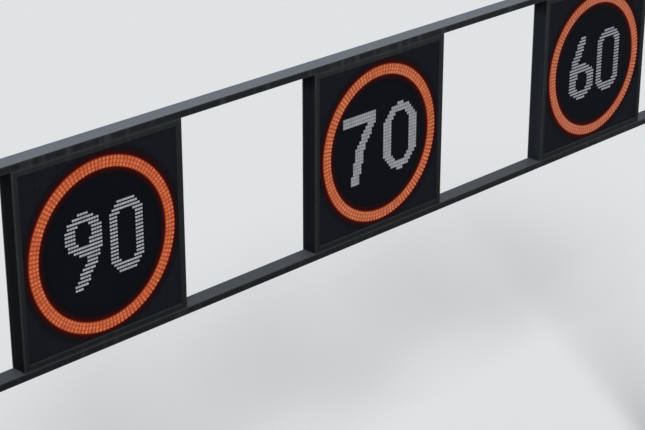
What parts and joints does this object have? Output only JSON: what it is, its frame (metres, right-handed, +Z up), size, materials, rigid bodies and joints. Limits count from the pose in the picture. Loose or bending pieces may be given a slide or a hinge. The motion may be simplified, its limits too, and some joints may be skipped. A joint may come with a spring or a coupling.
{
  "type": "overhead sign gantry",
  "caption": "Road portal with two slim box rails between columns, carrying square light-dot speed signs, each a ring of amber lights round white digits.",
  "frame": {"origin": "on the ground, midway between the two columns, under the middle of the beam's depth", "axes": "+X along the beam, to the right of someone who reads the signs; +Z up; the signs face -Y"},
  "size_m": [12.15, 1, 7.2663],
  "materials": {
    "painted_steel": "satin anthracite paint",
    "sign_paint": "matt dark grey paint",
    "display_black": "matt black",
    "amber_light": "lit amber lenses",
    "white_light": "lit white lenses"
  },
  "bodies": {
    "root": {"left_column": "painted_steel", "right_column": "painted_steel", "left_column_cap": "painted_steel", "right_column_cap": "painted_steel", "left_base_plate": "painted_steel", "right_base_plate": "painted_steel", "left_base_gussets": "painted_steel", "right_base_gussets": "painted_steel", "bottom_rail": "painted_steel", "top_rail": "painted_steel", "left_rail_end_plates": "painted_steel", "right_rail_end_plates": "painted_steel", "left_column_joint_plates": "painted_steel", "right_column_joint_plates": "painted_steel", "sign_90_box": "sign_paint", "sign_90_bezel": "sign_paint", "sign_90_rear_cover": "sign_paint", "sign_70_box": "sign_paint", "sign_70_bezel": "sign_paint", "sign_70_rear_cover": "sign_paint", "sign_60_box": "sign_paint", "sign_60_bezel": "sign_paint", "sign_60_rear_cover": "sign_paint", "sign_90_display_panel": "display_black", "sign_70_display_panel": "display_black", "sign_60_display_panel": "display_black", "sign_90_led_ring": "amber_light", "sign_70_led_ring": "amber_light", "sign_60_led_ring": "amber_light", "sign_90_digit_nine": "white_light", "sign_90_digit_zero": "white_light", "sign_70_digit_seven": "white_light", "sign_70_digit_zero": "white_light", "sign_60_digit_six": "white_light", "sign_60_digit_zero": "white_light"}
  },
  "joints": []
}
